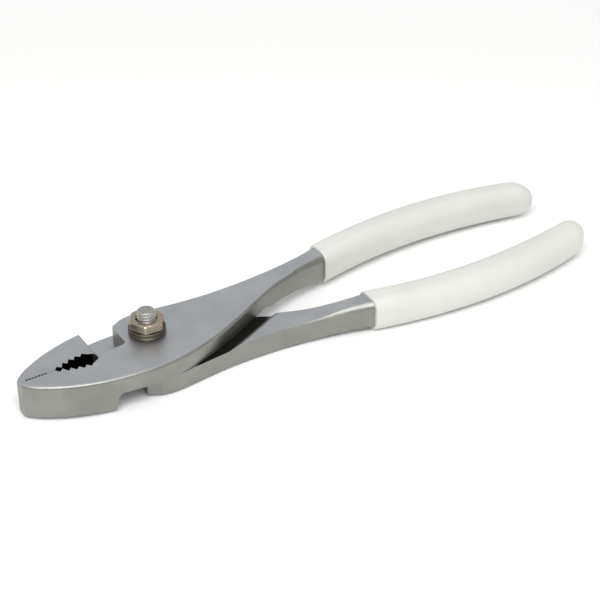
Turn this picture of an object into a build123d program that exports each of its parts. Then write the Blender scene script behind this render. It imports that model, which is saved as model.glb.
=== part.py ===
"""Slip-joint combination pliers, 200 mm: two drop-forged halves lapped on a stepped bolt, with dipped grips.

Frame: the pivot axis is Z through the origin, +Z is the nut's side, +X runs towards the handles and +Y
towards the handle of the upper half.  z = 0 is the flat underside of the head.  Every forging is first
drawn about the tool's own centre line, where y = 0 is the line between the closed jaws and z = 0 is the
plane where the two plates lap.
"""

import math
import os

from build123d import *

# Head
JAW_LENGTH = 43.9  # pivot to the tip of the nose
HEAD_THICK = 11.4  # full thickness of the jaws, twice that of a plate
HEAD_HALF_WIDTH = 14.6  # centre line to the widest point of the outer edge
NOSE_HALF_WIDTH = 1.8
LAP_GAP = 0.1  # between the two plates
PARTING_GAP = 0.1  # between the closed jaws
PIVOT_OFFSET = 3.5  # pivot axis from the centre line, towards the upper handle
SHOULDER_BACK = 8.2  # pivot to the wall in front of the plate's wide part
SHOULDER_HALF = 11.3  # centre line to the shoulder's corner
NECK_HALF = 1.5  # centre line to the plate's edge beside the shoulder
NECK_WAIST = 0.9  # the same halfway to the jaw
OUTER_EDGE_ROUND = 1.0
CORNER_ROUND = 1.2

# Back of the jaw, an S-curve from the jaw's face down to the lap
JAW_BACK_TOP_UPPER = 21.2  # pivot to where the full thickness ends
JAW_BACK_TOP_LOWER = 19.8
JAW_BACK_RUN = 4.8  # length of the S-curve
LAP_END = 5.0  # pivot to the far end of the space cut for the other plate

# Jaw teeth
NOSE_TEETH = 7
NOSE_TOOTH_PITCH = 1.0
NOSE_TOOTH_DEPTH = 0.35
NOSE_TEETH_START = 42.0
PIPE_GRIP_FRONT = 32.4  # pivot to the front of the pipe grip
PIPE_TEETH = 5
PIPE_TOOTH_PITCH = 2.3
PIPE_TOOTH_DEPTH = 1.1
PIPE_GRIP_DEPTH = 3.6  # centre line to the deepest valley
PIPE_GRIP_BULGE = 0.8  # below 1, the grip's outline is fuller than a quarter wave

# Slip joint
SLIP = 4.0  # travel between the closed and the wide position
SLIP_ANGLE = 60.0  # degrees between the slot and the centre line
JOURNAL_D = 8.0
JOURNAL_CLEARANCE = 0.05  # radial, in the round hole and in both seats of the slot
FLAT_WIDTH = 6.0  # across the bolt's two flats
FLAT_CLEARANCE = 0.1  # on each side, in the slot's waist
BOLT_HEAD_D = 11.0
BOLT_HEAD_T = 2.4
HEAD_CLEARANCE = 0.2  # round the bolt's head in its pocket
SEAT_CLEARANCE = 0.05  # under the head and under the washer
THREAD_D = 6.0
THREAD_CLEARANCE = 0.05
WASHER_D = 11.6
WASHER_T = 2.3
NUT_AF = 10.0
NUT_T = 3.0
NUT_TURN = -1.7  # degrees, one corner of the nut from +X
NUT_CHAMFER = 60.0  # degrees from the nut's axis
STUD_PROUD = 3.0  # thread standing out of the nut
STUD_DOME = 0.9

# Handles: each runs on a parabola, widest apart at the bow, and leaves the head at its plate's level
BOW_X = 110.0
BOW_Y = 20.1
BOW_SPAN = 40.0
BOW_DROP = 4.9
MOUTH_X = 68.6  # where the grip's sleeve begins
MOUTH_RISE = 0.65  # the handle's centre above the lap at the mouth
TANG_END_X = 149.0
GRIP_END_X = 155.8
MOUTH_WIDTH = 8.6
MOUTH_HEIGHT = 9.8
MOUTH_CORNER = 2.8
TANG_INSET = 0.8  # how far the tang's body reaches into the shank
TANG_STEP = 0.4  # from the shank's skin down to the tang's
SKIN = 0.15  # the corner rounding's envelope outside the shank's flat faces
# Corner radius of the shank, by distance from the pivot
CORNERS = [(44.0, 0.5), (48.0, 0.9), (52.0, 1.3), (56.0, 1.7), (60.0, 2.1), (64.0, 2.5), (MOUTH_X, 2.9)]

# Underside of the root
STEP_CLEARANCE = 0.4  # the other plate's edge to the step, with the joint slipped wide
STEP_RUN = 2.4  # the step's S-curve, from the lap to the root's depth
ROOT_DEPTH = 1.2  # the root below the lap
ROOT_END = 40.0  # pivot to where the root begins to deepen
FLOOR_SLOPE = 0.12  # of the underside at the mouth
ROOF_START = 50.0  # pivot to where the top face begins to fall
ROOF_SLOPE = 0.02  # of the top at the mouth

# Grips
GRIP_WALL_AT_MOUTH = 1.05
GRIP_FIT = 0.05
GRIP_TIP = 7.0  # length of the rounded tip
GRIP_LIP_ROUND = 0.4

HALF = HEAD_THICK / 2
LAP = LAP_GAP / 2
PART = PARTING_GAP / 2
REACH = 60.0  # longer than any cut needs
HALVINGS = 40  # steps of the search along a curve


def bow(x):
    """Distance of a handle's centre from the tool's centre line."""
    return BOW_Y - BOW_DROP * ((x - BOW_X) / BOW_SPAN) ** 2


def rise(x):
    """Height of a handle's centre over the lap."""
    return MOUTH_RISE * (TANG_END_X - x) / (TANG_END_X - MOUTH_X)


# Sections across a handle: distance from the pivot, width, height, corner radius
TANG = [
    (MOUTH_X - TANG_INSET, MOUTH_WIDTH - 2 * TANG_STEP, MOUTH_HEIGHT - 2 * TANG_STEP, MOUTH_CORNER),
    (88.0, 8.4, 9.2, 3.4),
    (108.0, 8.6, 8.8, 3.6),
    (128.0, 8.2, 8.6, 3.4),
    (TANG_END_X, 6.4, 7.2, 2.6),
]
SLEEVE = [
    (
        MOUTH_X + GRIP_FIT,
        MOUTH_WIDTH + 2 * GRIP_WALL_AT_MOUTH,
        MOUTH_HEIGHT + 2 * GRIP_WALL_AT_MOUTH,
        MOUTH_CORNER + GRIP_WALL_AT_MOUTH,
    ),
    (84.7, 11.8, 12.0, 5.0),
    (100.8, 12.3, 12.0, 5.4),
    (116.9, 12.3, 12.0, 5.4),
    (133.0, 11.8, 12.0, 5.2),
    (GRIP_END_X - GRIP_TIP, 11.0, 11.8, 5.0),
]
TIP_STEPS = (0, 17, 34, 51, 68, 84)  # degrees round the quarter ellipse of the grip's end


def tip_sections():
    """Sections of the sleeve's rounded end, which shrink as a quarter of an ellipse."""
    x, width, height, corner = SLEEVE[-1]
    angles = [math.radians(step) for step in TIP_STEPS]
    return [
        (x + GRIP_TIP * math.sin(a), width * math.cos(a), height * math.cos(a), corner * math.cos(a))
        for a in angles
    ]


# The root's two edges in plan, as distances from the centre line: pivot distance, inner, outer
INNER_END = bow(MOUTH_X) - MOUTH_WIDTH / 2
OUTER_END = bow(MOUTH_X) + MOUTH_WIDTH / 2
ROOT_INNER = [(42.7, 3.3), (50.0, 6.3), (56.0, 8.1), (62.5, 9.6), (MOUTH_X, INNER_END)]
ROOT_OUTER = [(46.0, 13.0), (54.0, 14.6), (60.0, 16.1), (MOUTH_X, OUTER_END)]

# Outline of the outer edge as shares of the jaw's length and the head's half width
JAW_OUTLINE = [(0.96, 0.26), (0.866, 0.459), (0.752, 0.637), (0.642, 0.764), (0.54, 0.856)]
JAW_OUTLINE += [(0.36, 0.953), (0.15, 1.0)]
HEAD_OUTLINE = [(3.0, 0.945), (12.7, 0.767), (20.0, 0.568), (28.0, 0.301), (35.5, 0.034)]


def outer_edge(side):
    """Points of the long outer edge, from the nose round the head to the handle's inner side."""
    points = [(-JAW_LENGTH, side * NOSE_HALF_WIDTH)]
    points += [(-along * JAW_LENGTH, side * across * HEAD_HALF_WIDTH) for along, across in JAW_OUTLINE]
    points += [(x, side * across * HEAD_HALF_WIDTH) for x, across in HEAD_OUTLINE]
    points += [(x, -side * y) for x, y in ROOT_INNER]
    return points


def jaw_face():
    """Points of the biting edge from the nose to the back of the pipe grip."""
    points = [(-JAW_LENGTH, -PART)]
    for tooth in range(NOSE_TEETH):
        start = -NOSE_TEETH_START + tooth * NOSE_TOOTH_PITCH
        points.append((start, -PART))
        points.append((start + NOSE_TOOTH_PITCH / 2, -PART - NOSE_TOOTH_DEPTH))
    points.append((-NOSE_TEETH_START + NOSE_TEETH * NOSE_TOOTH_PITCH, -PART))
    points.append((-PIPE_GRIP_FRONT, -PART))
    for tooth in range(PIPE_TEETH):
        share = (tooth + 1) / PIPE_TEETH
        valley_y = -PIPE_GRIP_DEPTH * math.sin(math.pi / 2 * share) ** PIPE_GRIP_BULGE
        valley_x = -PIPE_GRIP_FRONT + PIPE_TOOTH_PITCH * (tooth + 0.5)
        points.append((valley_x, valley_y))
        points.append((valley_x + PIPE_TOOTH_PITCH / 2, valley_y + PIPE_TOOTH_DEPTH))
    return points


FACE = jaw_face()
OUTER = outer_edge(-1)
# The plate's far edge, from the shoulder to the handle's outer side
FAR = [(-4.4, 13.4), (0.5, 14.0), (5.1, 13.65), (10.8, 12.9), (16.0, 12.3), (23.0, 11.8), (30.5, 11.8)]
FAR += [(38.0, 12.1)]
FAR += ROOT_OUTER
OUTER_CURVE = Spline(*OUTER)
FAR_CURVE = Spline(*FAR)


def at(curve, x):
    """Height of a curve at x; x grows along the whole curve."""
    low, high = 0.0, 1.0
    for _ in range(HALVINGS):
        middle = (low + high) / 2
        if (curve @ middle).X < x:
            low = middle
        else:
            high = middle
    return (curve @ low).Y


# The other half's outer edge beside this handle is nearly straight, and the root's step follows it
EDGE_START = Vector(HEAD_OUTLINE[1][0], HEAD_OUTLINE[1][1] * HEAD_HALF_WIDTH)
EDGE_END = Vector(HEAD_OUTLINE[-1][0], HEAD_OUTLINE[-1][1] * HEAD_HALF_WIDTH)
EDGE_RUN = (EDGE_END - EDGE_START).normalized()
EDGE_SIDE = Vector(-EDGE_RUN.Y, EDGE_RUN.X)
SLIP_RUN = Vector(math.cos(math.radians(SLIP_ANGLE)), math.sin(math.radians(SLIP_ANGLE))) * SLIP
EDGE_BULGE = 0.5  # how far the edge stands outside that line
STEP_UPPER = SLIP_RUN.Y * EDGE_SIDE.Y + SLIP_RUN.X * EDGE_SIDE.X + EDGE_BULGE + STEP_CLEARANCE
STEP_LOWER = SLIP_RUN.Y * EDGE_SIDE.Y - SLIP_RUN.X * EDGE_SIDE.X + EDGE_BULGE + STEP_CLEARANCE
STEP_BEFORE = 10.0  # how far the step's cut runs towards the jaw
STEP_PLANE = Plane(origin=EDGE_START - EDGE_RUN * STEP_BEFORE, x_dir=EDGE_SIDE, z_dir=EDGE_RUN)


def step_cut(start):
    """The space beside the root for the other plate, which ends in the step."""
    end = start + STEP_RUN
    with BuildPart() as cut:
        with BuildSketch(STEP_PLANE):
            with BuildLine():
                Polyline((start, LAP), (-REACH, LAP), (-REACH, -HEAD_THICK), (end, -HEAD_THICK))
                Line((end, -HEAD_THICK), (end, -ROOT_DEPTH))
                Spline((end, -ROOT_DEPTH), (start, LAP), tangents=[(-1, 0), (-1, 0)])
            make_face()
        extrude(amount=REACH + STEP_BEFORE)
    return cut.part


# What lies under the root and over the shank, drawn from the side
MOUTH_FLOOR = rise(MOUTH_X) - MOUTH_HEIGHT / 2
MOUTH_ROOF = rise(MOUTH_X) + MOUTH_HEIGHT / 2
FAR_END = 2 * REACH
FLOOR_CURVE = Spline(
    (ROOT_END, -ROOT_DEPTH), (MOUTH_X, MOUTH_FLOOR), tangents=[(1, 0), (1, -FLOOR_SLOPE)]
)
ROOF_CURVE = Spline((ROOF_START, HALF), (MOUTH_X, MOUTH_ROOF), tangents=[(1, 0), (1, -ROOF_SLOPE)])
with BuildPart() as root_cut:
    with BuildSketch(Plane.XZ.offset(-REACH / 2)):
        with BuildLine():
            add(FLOOR_CURVE)
            Polyline((ROOT_END, -ROOT_DEPTH), (LAP_END, -ROOT_DEPTH), (LAP_END, -HEAD_THICK))
            Polyline((LAP_END, -HEAD_THICK), (FAR_END, -HEAD_THICK), (FAR_END, MOUTH_FLOOR))
            Line((FAR_END, MOUTH_FLOOR), (MOUTH_X, MOUTH_FLOOR))
        make_face()
    extrude(amount=REACH)
    with BuildSketch(Plane.XZ.offset(-REACH / 2)):
        with BuildLine():
            add(ROOF_CURVE)
            Polyline((MOUTH_X, MOUTH_ROOF), (FAR_END, MOUTH_ROOF), (FAR_END, HEAD_THICK))
            Polyline((FAR_END, HEAD_THICK), (ROOF_START, HEAD_THICK), (ROOF_START, HALF))
        make_face()
    extrude(amount=REACH)


def lofted(sections, growth=0.0):
    """A body through rounded sections that stand across the tool's length."""
    with BuildPart() as body:
        for x, width, height, corner in sections:
            with BuildSketch(Plane(origin=(x, bow(x), rise(x)), x_dir=(0, 1, 0), z_dir=(1, 0, 0))):
                RectangleRounded(width + 2 * growth, height + 2 * growth, corner + growth)
        loft()
    return body.part


# What rounds the four corners of the shank, more and more towards the mouth
ENVELOPE = []
for x, corner in CORNERS:
    inner = at(OUTER_CURVE, x)
    outer = at(FAR_CURVE, x)
    bottom = at(FLOOR_CURVE, x)
    top = at(ROOF_CURVE, x)
    ENVELOPE.append((x, (inner + outer) / 2, (bottom + top) / 2, outer - inner, top - bottom, corner))

with BuildPart() as corner_cut:
    with BuildSketch(Plane.YZ.offset(CORNERS[0][0])):
        Rectangle(REACH, REACH)
    extrude(amount=MOUTH_X - CORNERS[0][0])
    with BuildPart(mode=Mode.SUBTRACT):
        for x, y, z, width, height, corner in ENVELOPE:
            with BuildSketch(Plane(origin=(x, y, z), x_dir=(0, 1, 0), z_dir=(1, 0, 0))):
                RectangleRounded(width + 2 * SKIN, height + 2 * SKIN, corner)
        loft()


def forging(jaw_back_top, step_start):
    """One whole forging, plate up."""
    jaw_back_foot = jaw_back_top - JAW_BACK_RUN
    neck_middle = (-(SHOULDER_BACK + jaw_back_foot) / 2, NECK_WAIST)
    neck = [(-SHOULDER_BACK, NECK_HALF), neck_middle, (-jaw_back_foot, -PARTING_GAP)]
    with BuildPart() as lap_cut:
        with BuildSketch(Plane.XZ.offset(-REACH / 2)):
            with BuildLine():
                Spline((-jaw_back_top, -HALF), (-jaw_back_foot, LAP), tangents=[(1, 0), (1, 0)])
                Polyline((-jaw_back_foot, LAP), (LAP_END, LAP), (LAP_END, -HALF), (-jaw_back_top, -HALF))
            make_face()
        extrude(amount=REACH)
    with BuildPart() as body:
        with BuildSketch(Plane.XY.offset(-HALF)):
            with BuildLine():
                add(OUTER_CURVE)
                Line(OUTER[-1], FAR[-1])
                add(FAR_CURVE)
                Line(FAR[0], (-SHOULDER_BACK, SHOULDER_HALF))
                Line((-SHOULDER_BACK, SHOULDER_HALF), neck[0])
                Polyline(*neck, FACE[-1])
                Polyline(*reversed(FACE))
                Line(FACE[0], OUTER[0])
            make_face()
        extrude(amount=HEAD_THICK)
        outer_wall = body.faces().sort_by(Axis.Y)[0]
        rims = outer_wall.edges().filter_by(Axis.Z, reverse=True)
        fillet(rims, OUTER_EDGE_ROUND)
        add(lap_cut.part, mode=Mode.SUBTRACT)
        add(step_cut(step_start), mode=Mode.SUBTRACT)
        add(root_cut.part, mode=Mode.SUBTRACT)
        for corner in ((-SHOULDER_BACK, SHOULDER_HALF, HALF / 2), (*neck[0], HALF / 2)):
            fillet(body.edges().filter_by(Axis.Z).sort_by_distance(corner)[0], CORNER_ROUND)
        add(corner_cut.part, mode=Mode.SUBTRACT)
        add(lofted(TANG))
    return body.part


def place(part, over=(0, 0, 0)):
    """The drawn piece where it stands in the tool."""
    return Location((0, -PIVOT_OFFSET, HALF), over) * part


with BuildPart() as sleeve:
    add(lofted(SLEEVE))
    add(lofted(tip_sections()))
    add(lofted(TANG, GRIP_FIT), mode=Mode.SUBTRACT)
    fillet(sleeve.faces().sort_by(Axis.X)[0].outer_wire().edges(), GRIP_LIP_ROUND)

# Where the two halves stand: the lower one is turned half round about the centre line
OVER = (180, 0, 0)
PLATE_TOP = HEAD_THICK
LAP_Z = HALF

with BuildPart() as upper_half:
    add(place(forging(JAW_BACK_TOP_UPPER, STEP_UPPER)))
    with BuildSketch(Plane.XY.offset(LAP_Z)):
        Circle(JOURNAL_D / 2 + JOURNAL_CLEARANCE)
    extrude(amount=PLATE_TOP, mode=Mode.SUBTRACT)
upper_half.part.label = "upper_half"

with BuildPart() as lower_half:
    add(place(forging(JAW_BACK_TOP_LOWER, STEP_LOWER), OVER))
    with BuildSketch(Plane.XY):
        with Locations((0, 0), -SLIP_RUN):
            Circle(JOURNAL_D / 2 + JOURNAL_CLEARANCE)
        with Locations(-SLIP_RUN / 2):
            Rectangle(SLIP, FLAT_WIDTH + 2 * FLAT_CLEARANCE, rotation=SLIP_ANGLE)
    extrude(amount=LAP_Z, mode=Mode.SUBTRACT)
    with BuildSketch(Plane.XY):
        with Locations(-SLIP_RUN / 2):
            SlotCenterToCenter(SLIP, BOLT_HEAD_D + 2 * HEAD_CLEARANCE, rotation=SLIP_ANGLE)
    extrude(amount=BOLT_HEAD_T + SEAT_CLEARANCE, mode=Mode.SUBTRACT)
lower_half.part.label = "lower_half"

with BuildPart() as upper_grip:
    add(place(sleeve.part))
upper_grip.part.label = "upper_grip"

with BuildPart() as lower_grip:
    add(place(sleeve.part, OVER))
lower_grip.part.label = "lower_grip"

# Stepped bolt: flush head, flatted shank in the slot, round journal in the upper plate, thread
WASHER_Z = PLATE_TOP + SEAT_CLEARANCE
NUT_Z = WASHER_Z + WASHER_T
STUD_TOP = NUT_Z + NUT_T + STUD_PROUD
with BuildPart() as pivot_bolt:
    with BuildSketch(Plane.XY):
        Circle(BOLT_HEAD_D / 2)
    extrude(amount=BOLT_HEAD_T)
    with BuildSketch(Plane.XY.offset(BOLT_HEAD_T)):
        Circle(JOURNAL_D / 2)
        Rectangle(JOURNAL_D, FLAT_WIDTH, rotation=SLIP_ANGLE, mode=Mode.INTERSECT)
    extrude(amount=LAP_Z - BOLT_HEAD_T)
    with BuildSketch(Plane.XY.offset(LAP_Z)):
        Circle(JOURNAL_D / 2)
    extrude(amount=WASHER_Z - LAP_Z)
    with BuildSketch(Plane.XY.offset(WASHER_Z)):
        Circle(THREAD_D / 2)
    extrude(amount=STUD_TOP - WASHER_Z)
    fillet(pivot_bolt.edges().sort_by(Axis.Z)[-1], STUD_DOME)
pivot_bolt.part.label = "pivot_bolt"

with BuildPart() as spring_washer:
    with BuildSketch(Plane.XY.offset(WASHER_Z)):
        Circle(WASHER_D / 2)
        Circle(THREAD_D / 2 + THREAD_CLEARANCE, mode=Mode.SUBTRACT)
    extrude(amount=WASHER_T)
spring_washer.part.label = "spring_washer"

# Hexagon nut with its corners turned down to a cone on top
with BuildPart() as pivot_nut:
    with BuildSketch(Plane.XY.offset(NUT_Z)):
        RegularPolygon(NUT_AF / 2, 6, major_radius=False, rotation=NUT_TURN)
        Circle(THREAD_D / 2 + THREAD_CLEARANCE, mode=Mode.SUBTRACT)
    extrude(amount=NUT_T)
    with BuildSketch(Plane.XY.offset(NUT_Z)):
        Circle(NUT_AF / 2 + NUT_T * math.tan(math.radians(NUT_CHAMFER)))
    extrude(amount=NUT_T, taper=NUT_CHAMFER, mode=Mode.INTERSECT)
pivot_nut.part.label = "pivot_nut"

os.makedirs("parts", exist_ok=True)
for piece in (upper_half, lower_half, upper_grip, lower_grip, pivot_bolt, spring_washer, pivot_nut):
    export_step(piece.part, f"parts/{piece.part.label}.step")
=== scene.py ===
"""Slip-joint combination pliers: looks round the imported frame."""

import math

import bpy
from mathutils import Matrix, Vector


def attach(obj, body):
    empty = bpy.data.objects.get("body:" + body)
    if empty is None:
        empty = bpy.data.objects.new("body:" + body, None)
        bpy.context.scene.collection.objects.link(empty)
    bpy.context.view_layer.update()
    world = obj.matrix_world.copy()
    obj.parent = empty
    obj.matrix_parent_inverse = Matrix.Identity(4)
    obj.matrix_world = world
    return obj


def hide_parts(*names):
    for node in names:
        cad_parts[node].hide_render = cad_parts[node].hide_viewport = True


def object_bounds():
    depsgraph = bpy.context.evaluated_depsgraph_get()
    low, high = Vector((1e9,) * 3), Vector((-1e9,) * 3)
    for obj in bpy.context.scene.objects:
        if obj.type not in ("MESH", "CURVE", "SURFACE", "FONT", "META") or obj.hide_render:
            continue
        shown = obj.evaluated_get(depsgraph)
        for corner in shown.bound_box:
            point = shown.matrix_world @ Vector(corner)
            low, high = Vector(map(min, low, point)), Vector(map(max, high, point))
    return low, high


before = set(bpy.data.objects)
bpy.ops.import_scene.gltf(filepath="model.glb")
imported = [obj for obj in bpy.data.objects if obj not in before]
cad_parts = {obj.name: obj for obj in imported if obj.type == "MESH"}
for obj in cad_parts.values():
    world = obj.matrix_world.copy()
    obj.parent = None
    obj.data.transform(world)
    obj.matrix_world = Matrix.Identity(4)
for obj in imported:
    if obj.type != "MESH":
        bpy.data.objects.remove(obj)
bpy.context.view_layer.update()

MM = 0.001


# ---------------------------------------------------------------- node helpers

def srgb(r, g, b):
    """Linear colour from 0-255 display values."""
    values = []
    for c in (r, g, b):
        c = c / 255
        values.append(c / 12.92 if c <= 0.04045 else ((c + 0.055) / 1.055) ** 2.4)
    return (*values, 1.0)


class Nodes:
    """A small builder for one material's node tree."""

    def __init__(self, name):
        self.material = bpy.data.materials.new(name)
        self.material.use_nodes = True
        self.tree = self.material.node_tree
        self.tree.nodes.clear()
        self.output = self.add("ShaderNodeOutputMaterial")
        self.shader = self.add("ShaderNodeBsdfPrincipled")
        self.link(self.shader, "BSDF", self.output, "Surface")

    def add(self, kind, **settings):
        node = self.tree.nodes.new(kind)
        for key, value in settings.items():
            setattr(node, key, value)
        return node

    def link(self, a, out, b, into):
        self.tree.links.new(a.outputs[out], b.inputs[into])

    def coords(self, scale=(1, 1, 1), turn=(0, 0, 0)):
        """Object coordinates, scaled and turned."""
        source = self.add("ShaderNodeTexCoord")
        mapping = self.add("ShaderNodeMapping")
        mapping.inputs["Scale"].default_value = scale
        mapping.inputs["Rotation"].default_value = turn
        self.link(source, "Object", mapping, "Vector")
        return mapping

    def noise(self, size, detail=3.0, roughness=0.55, stretch=(1, 1, 1), turn=(0, 0, 0)):
        """Noise whose grains are about `size` metres across."""
        mapping = self.coords(stretch, turn)
        node = self.add("ShaderNodeTexNoise")
        node.inputs["Scale"].default_value = 1.0 / size
        node.inputs["Detail"].default_value = detail
        node.inputs["Roughness"].default_value = roughness
        self.link(mapping, "Vector", node, "Vector")
        return node

    def ramp(self, source, out, stops):
        node = self.add("ShaderNodeValToRGB")
        elements = node.color_ramp.elements
        while len(elements) < len(stops):
            elements.new(0.5)
        for element, (position, colour) in zip(elements, stops):
            element.position = position
            element.color = colour if hasattr(colour, "__len__") else (colour, colour, colour, 1)
        self.link(source, out, node, "Fac")
        return node

    def mix(self, factor, a, b, blend="MIX"):
        """Colour mix; each of factor, a and b is a value or a (node, socket) pair."""
        node = self.add("ShaderNodeMix", data_type="RGBA", blend_type=blend)
        for value, index in ((factor, 0), (a, 6), (b, 7)):
            if isinstance(value, tuple) and hasattr(value[0], "outputs"):
                self.tree.links.new(value[0].outputs[value[1]], node.inputs[index])
            else:
                node.inputs[index].default_value = value
        return node

    def math(self, operation, a, b=0.0):
        node = self.add("ShaderNodeMath", operation=operation)
        for value, index in ((a, 0), (b, 1)):
            if isinstance(value, tuple):
                self.tree.links.new(value[0].outputs[value[1]], node.inputs[index])
            else:
                node.inputs[index].default_value = value
        return node

    def bump(self, source, out, distance, strength=1.0, below=None):
        node = self.add("ShaderNodeBump")
        node.inputs["Distance"].default_value = distance
        node.inputs["Strength"].default_value = strength
        self.link(source, out, node, "Height")
        if below is not None:
            self.link(below, "Normal", node, "Normal")
        return node


# ------------------------------------------------------------------- materials

def flat_face_mask(n):
    """1 on the ground flat faces, 0 on walls and rounded edges."""
    geometry = n.add("ShaderNodeNewGeometry")
    split = n.add("ShaderNodeSeparateXYZ")
    n.link(geometry, "Normal", split, "Vector")
    upright = n.math("ABSOLUTE", (split, "Z"))
    return n.ramp(upright, "Value", [(0.80, 0.0), (0.97, 1.0)])


def within(n, split, axis, low, high, soft):
    """1 where a coordinate lies between low and high (metres), soft at both ends."""
    ranges = []
    for start, end in ((low - soft, low + soft), (high + soft, high - soft)):
        node = n.add("ShaderNodeMapRange", interpolation_type="SMOOTHSTEP")
        node.inputs["From Min"].default_value = min(start, end)
        node.inputs["From Max"].default_value = max(start, end)
        if start > end:
            node.inputs["To Min"].default_value = 1.0
            node.inputs["To Max"].default_value = 0.0
        n.link(split, axis, node, "Value")
        ranges.append(node)
    return n.math("MULTIPLY", (ranges[0], "Result"), (ranges[1], "Result"))


def forged_steel():
    n = Nodes("satin_forged_steel")
    mask = flat_face_mask(n)
    broad = n.noise(9 * MM, detail=2.0)
    # Painted light: flat faces get a lighter, cooler tone and walls a darker, warmer copy of the
    # same steel, for how the light falls on each
    tone = n.ramp(broad, "Fac", [(0.3, srgb(193, 196, 200)), (0.7, srgb(204, 207, 210))])
    wall = n.ramp(broad, "Fac", [(0.3, srgb(146, 146, 141)), (0.7, srgb(158, 158, 153))])
    painted_top_and_wall_tone = n.mix((mask, "Color"), (wall, "Color"), (tone, "Color"))
    grain = n.noise(0.22 * MM, detail=2.0, roughness=0.6)
    grain_tone = n.ramp(grain, "Fac", [(0.25, 0.90), (0.75, 1.0)])
    colour = n.mix(1.0, (painted_top_and_wall_tone, 2), (grain_tone, "Color"), blend="MULTIPLY")
    # Painted shade: the piece's own corners and crevices darkened by ambient occlusion
    near = n.add("ShaderNodeAmbientOcclusion", samples=8, only_local=True)
    near.inputs["Distance"].default_value = 7 * MM
    shade = n.ramp(near, "AO", [(0.15, srgb(58, 52, 45)), (0.72, srgb(255, 255, 255))])
    shaded = n.mix(1.0, (colour, 2), (shade, "Color"), blend="MULTIPLY")
    # Painted shade: the lap faces behind the bolt, shaded by the other half, and the walls deep in
    # the pipe grip are coloured near black
    where = n.add("ShaderNodeTexCoord")
    split = n.add("ShaderNodeSeparateXYZ")
    n.link(where, "Object", split, "Vector")
    lap_z = within(n, split, "Z", 5.58 * MM, 5.82 * MM, 0.05 * MM)
    lap_x = within(n, split, "X", 8.0 * MM, 40.0 * MM, 1.5 * MM)
    lap = n.math("MULTIPLY", (lap_z, "Value"), (lap_x, "Value"))
    lap = n.math("MULTIPLY", (lap, "Value"), (mask, "Color"))
    wall_only = n.math("SUBTRACT", 1.0, (mask, "Color"))
    grip_x = within(n, split, "X", -33.0 * MM, -19.2 * MM, 0.3 * MM)
    grip_y = within(n, split, "Y", -8.4 * MM, 1.4 * MM, 0.3 * MM)
    jaws = n.math("MULTIPLY", (grip_x, "Value"), (grip_y, "Value"))
    jaws = n.math("MULTIPLY", (jaws, "Value"), (wall_only, "Value"))
    dark = n.math("MAXIMUM", (lap, "Value"), (jaws, "Value"))
    painted_crevice_shade = n.mix((dark, "Value"), (shaded, 2), srgb(48, 45, 41))
    n.link(painted_crevice_shade, 2, n.shader, "Base Color")
    n.shader.inputs["Metallic"].default_value = 1.0
    satin = n.ramp(grain, "Fac", [(0.3, 0.36), (0.7, 0.46)])
    n.link(satin, "Color", n.shader, "Roughness")
    lines = n.noise(0.12 * MM, detail=2.0, stretch=(0.04, 1, 1))
    first = n.bump(lines, "Fac", 0.004 * MM, strength=0.5)
    second = n.bump(grain, "Fac", 0.008 * MM, strength=0.6, below=first)
    n.link(second, "Normal", n.shader, "Normal")
    return n.material


def grip_vinyl():
    n = Nodes("dipped_white_vinyl")
    broad = n.noise(22 * MM, detail=2.0)
    tone = n.ramp(broad, "Fac", [(0.3, srgb(213, 213, 208)), (0.7, srgb(220, 220, 215))])
    n.link(tone, "Color", n.shader, "Base Color")
    peel = n.noise(0.9 * MM, detail=3.0)
    gloss = n.ramp(peel, "Fac", [(0.3, 0.40), (0.7, 0.50)])
    n.link(gloss, "Color", n.shader, "Roughness")
    bump = n.bump(peel, "Fac", 0.02 * MM, strength=0.4)
    n.link(bump, "Normal", n.shader, "Normal")
    n.shader.inputs["Subsurface Weight"].default_value = 0.08
    n.shader.inputs["Subsurface Radius"].default_value = (0.6 * MM, 0.6 * MM, 0.5 * MM)
    n.shader.inputs["Subsurface Scale"].default_value = 1.0
    return n.material


def turned_metal(name, low, high, rough, grain_size):
    """Machined metal with rings turned about Z and a fine grain."""
    n = Nodes(name)
    grain = n.noise(grain_size, detail=3.0, roughness=0.65)
    tone = n.ramp(grain, "Fac", [(0.3, low), (0.7, high)])
    n.link(tone, "Color", n.shader, "Base Color")
    n.shader.inputs["Metallic"].default_value = 1.0
    satin = n.ramp(grain, "Fac", [(0.3, rough), (0.7, rough + 0.1)])
    n.link(satin, "Color", n.shader, "Roughness")
    coords = n.coords()
    rings = n.add("ShaderNodeTexWave", wave_type="RINGS", rings_direction="Z")
    rings.inputs["Scale"].default_value = 420.0
    rings.inputs["Distortion"].default_value = 0.4
    n.link(coords, "Vector", rings, "Vector")
    first = n.bump(rings, "Fac", 0.004 * MM, strength=0.4)
    second = n.bump(grain, "Fac", 0.02 * MM, strength=0.5, below=first)
    n.link(second, "Normal", n.shader, "Normal")
    return n.material


STEEL = forged_steel()
VINYL = grip_vinyl()
STUD = turned_metal("bolt_steel_satin", srgb(158, 156, 151), srgb(204, 202, 197), 0.30, 0.35 * MM)
NICKEL = turned_metal("nut_nickel_warm", srgb(168, 157, 139), srgb(190, 179, 160), 0.26, 0.9 * MM)

# Painted shade: the collar is coloured dark for the shadow of the nut that falls on it
COLLAR = turned_metal("washer_nickel_painted_shade", srgb(88, 83, 74), srgb(106, 100, 90), 0.34, 0.7 * MM)

# ---------------------------------------------------------------- turned parts

def smooth(obj, sharp_degrees=32):
    """Smooth shading, with edges sharper than the angle kept crisp."""
    mesh = obj.data
    mesh.polygons.foreach_set("use_smooth", [True] * len(mesh.polygons))
    if hasattr(mesh, "set_sharp_from_angle"):
        mesh.set_sharp_from_angle(angle=math.radians(sharp_degrees))


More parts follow.
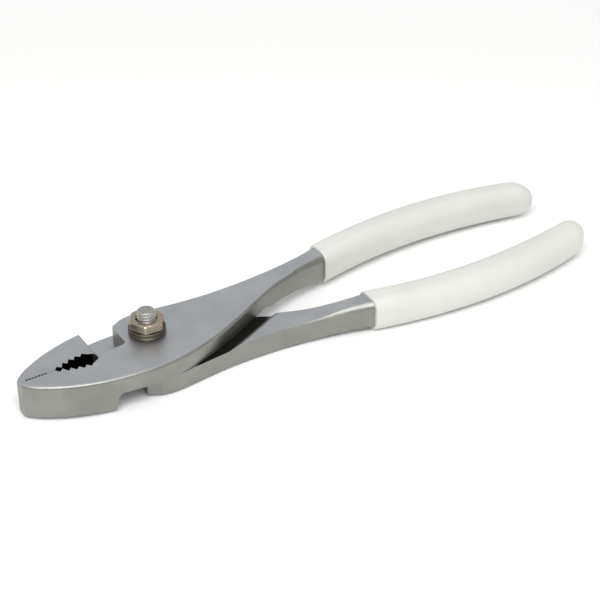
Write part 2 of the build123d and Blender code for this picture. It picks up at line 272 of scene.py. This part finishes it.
def turned(name, rings, steps):
    """A closed mesh of rings about Z. Each ring is a function from angle to (radius, z), in mm."""
    verts = []
    for ring in rings:
        for k in range(steps):
            angle = 2 * math.pi * k / steps
            radius, z = ring(angle)
            verts.append((radius * math.cos(angle) * MM, radius * math.sin(angle) * MM, z * MM))
    faces = []
    for i in range(len(rings)):
        j = (i + 1) % len(rings)
        for k in range(steps):
            m = (k + 1) % steps
            faces.append((i * steps + k, i * steps + m, j * steps + m, j * steps + k))
    mesh = bpy.data.meshes.new(name)
    mesh.from_pydata(verts, [], faces)
    mesh.validate()
    obj = bpy.data.objects.new(name, mesh)
    bpy.context.scene.collection.objects.link(obj)
    return obj


def arc(radius, z, r, start, end, count=5):
    """Rings round a corner of radius r: (radius, z) pairs, angles from the outward direction."""
    rings = []
    for k in range(count):
        a = math.radians(start + (end - start) * k / (count - 1))
        rings.append(plain(radius + r * math.cos(a), z + r * math.sin(a)))
    return rings


def plain(radius, z):
    return lambda angle: (radius, z)


def hexagon(across_flats, turn, z, cone=1.0):
    """A ring with a hexagon's outline, held inside a circle by the corner chamfer."""
    inner = across_flats / 2

    def ring(angle):
        side = (math.degrees(angle) - turn + 30) % 60 - 30
        reach = inner / math.cos(math.radians(30 - abs(side)))
        return (min(reach, inner * cone), z)

    return ring


# ----------------------------------------------------------------------- floor

FLOOR_SIZE = 6.0  # metres
low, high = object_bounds()
bpy.ops.mesh.primitive_plane_add(size=FLOOR_SIZE, location=(0, 0, low.z))
floor = bpy.context.object
floor.name = "floor"
paint = Nodes("pale_floor")
paint.shader.inputs["Base Color"].default_value = srgb(250, 250, 249)
paint.shader.inputs["Roughness"].default_value = 0.9
paint.shader.inputs["Specular IOR Level"].default_value = 0.1
floor.data.materials.append(paint.material)

# ------------------------------------------------------------------ CAD pieces

for node, material in (
    ("upper_half", STEEL),
    ("lower_half", STEEL),
    ("upper_grip", VINYL),
    ("lower_grip", VINYL),
    ("pivot_bolt", STUD),
    ("spring_washer", NICKEL),
    ("pivot_nut", NICKEL),
):
    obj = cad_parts[node]
    obj.data.materials.clear()
    obj.data.materials.append(material)
    smooth(obj)

# ----------------------------------------------- bolt, washer and nut, in full

# All in mm, as (radius, height) round the pivot axis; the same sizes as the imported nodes
AXIS_STEPS = 120
WASHER_FOOT, WASHER_TOP, WASHER_R = 11.45, 13.75, 5.8
BORE_R = 3.06
NUT_TOP, NUT_AF, NUT_TURN = 16.75, 10.0, -1.7
JOURNAL_R, FLAT_HALF, SLOT_ANGLE = 4.0, 3.0, 60
THREAD_R, THREAD_DEPTH, THREAD_PITCH = 2.98, 0.34, 1.0
THREAD_FOOT, THREAD_RINGS, RINGS_PER_MM = 11.5, 59, 8


def profile(*points):
    """Round rings through (radius, height) points."""
    return [plain(radius, z) for radius, z in points]


# The spring washer: a turned collar with rounded rims and a shallow groove
FOOT_ROUND, TOP_ROUND = 0.35, 0.5
collar = arc(WASHER_R - FOOT_ROUND, WASHER_FOOT + FOOT_ROUND, FOOT_ROUND, -90, 0)
collar += profile((WASHER_R, 12.35), (5.66, 12.5), (5.66, 12.62), (WASHER_R, 12.78))
collar += arc(WASHER_R - TOP_ROUND, WASHER_TOP - TOP_ROUND, TOP_ROUND, 0, 90)
collar += profile((4.9, WASHER_TOP), (BORE_R, WASHER_TOP), (BORE_R, WASHER_FOOT))
washer = turned("washer_collar", collar, AXIS_STEPS)

# The hexagon nut: chamfered corners and a bevelled bore
nut_rings = profile((4.72, 13.77))
for z, cone in ((13.93, 1.1), (14.1, 1.16), (16.0, 1.16), (16.42, 1.08)):
    nut_rings.append(hexagon(NUT_AF, NUT_TURN, z, cone))
nut_rings += profile((4.86, 16.7), (4.7, NUT_TOP), (3.55, NUT_TOP), (3.08, 16.4), (BORE_R, 13.76))
nut = turned("hexagon_nut", nut_rings, AXIS_STEPS)


def thread_ring(z):
    """A slice across the thread, between its crest and its root."""

    def ring(angle):
        turn = (z - angle / (2 * math.pi)) % THREAD_PITCH
        return (THREAD_R - THREAD_DEPTH * abs(2 * turn - 1), z)

    return ring


def flatted(z):
    """The journal's circle, cut by the two flats that lie along the slot."""

    def ring(angle):
        lean = abs(math.sin(angle - math.radians(SLOT_ANGLE)))
        return (min(JOURNAL_R, FLAT_HALF / max(lean, 0.01)), z)

    return ring


# The stepped bolt: head with a centre mark, flats, journal, thread and domed end
HEAD_R = 5.48
stem = profile((1.2, 0.35), (1.5, 0.12), (4.9, 0.0), (5.3, 0.12), (HEAD_R, 0.3), (HEAD_R, 2.38))
stem += [flatted(2.4), flatted(5.68)]
stem += profile((JOURNAL_R, 5.7), (JOURNAL_R, 11.3), (3.9, 11.42), (2.9, 11.45))
stem += [thread_ring(THREAD_FOOT + k / RINGS_PER_MM) for k in range(THREAD_RINGS)]
stem += profile((2.62, 18.9), (2.5, 19.25), (2.1, 19.52), (1.4, 19.68), (0.7, 19.73))
stem += profile((0.02, 19.74), (0.02, 0.35))
stud = turned("threaded_bolt", stem, AXIS_STEPS)

for piece, node, material, slot in (
    (washer, "spring_washer", COLLAR, "nut_nickel"),
    (nut, "pivot_nut", NICKEL, "nut_nickel"),
    (stud, "pivot_bolt", STUD, "bolt_steel"),
):
    piece.data.materials.append(material)
    smooth(piece)
    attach(piece, "pivot")
    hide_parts(node)

# ---------------------------------------------------------------------- lights

world = bpy.data.worlds.new("studio")
bpy.context.scene.world = world
world.use_nodes = True
world.node_tree.nodes["Background"].inputs["Color"].default_value = (1.0, 1.0, 1.0, 1.0)
world.node_tree.nodes["Background"].inputs["Strength"].default_value = 0.62


def softbox(name, place, target, size, power, colour=(1, 1, 1)):
    data = bpy.data.lights.new(name, "AREA")
    data.shape = "RECTANGLE"
    data.size, data.size_y = size
    data.energy = power
    data.color = colour
    obj = bpy.data.objects.new(name, data)
    bpy.context.scene.collection.objects.link(obj)
    obj.location = place
    obj.rotation_mode = "QUATERNION"
    obj.rotation_quaternion = (Vector(target) - Vector(place)).to_track_quat("-Z", "Y")
    return obj


KEY_PLACE, KEY_TARGET, KEY_SIZE, KEY_WATTS = (-0.25, -0.45, 0.9), (0.05, 0, 0), (0.8, 0.6), 8.0
softbox("key", KEY_PLACE, KEY_TARGET, KEY_SIZE, KEY_WATTS)

# ---------------------------------------------------------------------- camera

YAW = math.radians(-31.74)
PITCH = math.radians(34.07)
DISTANCE = 0.5191
AIM_RIGHT, AIM_UP = 0.04472, 0.01595
SENSOR, LENS = 36.0, 102.06
LAP_CENTRE = Vector((0, -0.0035, 0.0057))

right = Vector((math.cos(YAW), math.sin(YAW), 0))
back = Vector((math.sin(YAW) * math.cos(PITCH), -math.cos(YAW) * math.cos(PITCH), math.sin(PITCH)))
up = back.cross(right)
camera_data = bpy.data.cameras.new("camera")
camera_data.sensor_width = SENSOR
camera_data.lens = LENS
camera = bpy.data.objects.new("camera", camera_data)
bpy.context.scene.collection.objects.link(camera)
place = LAP_CENTRE + right * AIM_RIGHT + up * AIM_UP + back * DISTANCE
camera.matrix_world = Matrix.Translation(place) @ Matrix((right, up, back)).transposed().to_4x4()
bpy.context.scene.camera = camera
bpy.context.scene.view_settings.view_transform = "Standard"
